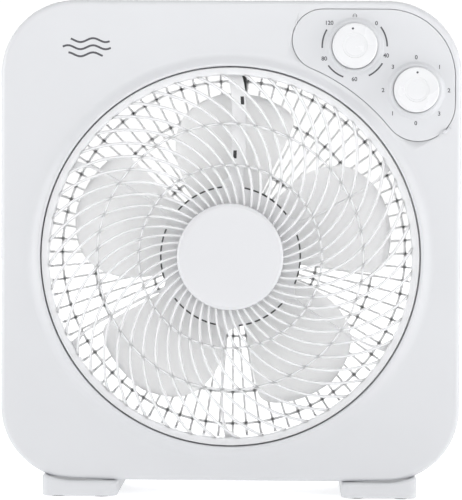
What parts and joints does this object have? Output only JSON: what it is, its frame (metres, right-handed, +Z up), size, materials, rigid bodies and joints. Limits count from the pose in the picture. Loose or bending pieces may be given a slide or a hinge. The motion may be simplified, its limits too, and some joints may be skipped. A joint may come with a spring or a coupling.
{
  "type": "box fan",
  "caption": "Free-standing box fan: square rounded housing, rotating round louver grille, bladed impeller, rear guard, timer and speed knobs, two feet.",
  "frame": {"origin": "centre of the footprint on the floor, under the middle of the fan's box", "axes": "+X to the right seen from the front, +Y towards the back, +Z up; the air leaves towards -Y"},
  "size_m": [0.402, 0.136, 0.4345],
  "materials": {
    "housing_white": "satin gloss moulded plastic",
    "guard_white": "satin moulded plastic",
    "spider_grey": "satin moulded plastic in shade",
    "panel_white": "satin gloss moulded plastic",
    "knob_white": "gloss moulded plastic",
    "louver_white": "satin moulded plastic",
    "blade_milky": "milky translucent plastic",
    "foot_white": "satin moulded plastic",
    "black_plastic": "matt",
    "rubber": "matt",
    "cable_grey": "matt",
    "steel": "zinc plated",
    "motor_metal": "cast and machined",
    "core_steel": "laminated electrical steel",
    "copper": "enamelled copper wire",
    "bronze": "sintered bronze"
  },
  "bodies": {
    "housing": {"front_housing": "housing_white", "rear_housing": "housing_white", "rear_guard": "guard_white", "front_spider": "spider_grey", "control_panel": "panel_white", "timer_case": "black_plastic", "speed_switch_case": "black_plastic", "louver_motor": "motor_metal", "motor_stator": "core_steel", "motor_windings": "copper", "motor_front_bell": "motor_metal", "motor_rear_bell": "motor_metal", "front_bearing": "bronze", "rear_bearing": "bronze", "motor_capacitor": "black_plastic", "foot_left": "foot_white", "foot_right": "foot_white", "foot_pads": "rubber", "foot_screws": "steel", "housing_screws": "steel", "spider_screws": "steel", "guard_screws": "steel", "motor_screws": "steel", "louver_motor_screws": "steel", "cord_gland": "rubber", "motor_lead": "cable_grey", "louver_lead": "cable_grey", "wire_clips": "black_plastic"},
    "impeller": {"impeller": "blade_milky", "impeller_nut": "black_plastic", "motor_shaft": "steel", "rotor": "core_steel"},
    "louver": {"louver_grille": "louver_white", "louver_cap": "louver_white", "louver_screw": "steel", "louver_motor_shaft": "steel"},
    "timer_knob": {"timer_knob": "knob_white", "timer_shaft": "steel"},
    "speed_knob": {"speed_knob": "knob_white", "speed_shaft": "steel"}
  },
  "joints": [
    {"name": "impeller_spin", "type": "hinge", "parent": "housing", "child": "impeller", "pos_m": [0, 0, 0.211], "axis": [0, 1, 0], "continuous": true},
    {"name": "louver_spin", "type": "hinge", "parent": "housing", "child": "louver", "pos_m": [0, 0, 0.211], "axis": [0, 1, 0], "continuous": true},
    {"name": "timer_turn", "type": "hinge", "parent": "housing", "child": "timer_knob", "pos_m": [0.1073, 0, 0.3946], "axis": [0, 1, 0], "range_deg": [0, 320]},
    {"name": "speed_turn", "type": "hinge", "parent": "housing", "child": "speed_knob", "pos_m": [0.1608, 0, 0.3568], "axis": [0, 1, 0], "continuous": true}
  ]
}
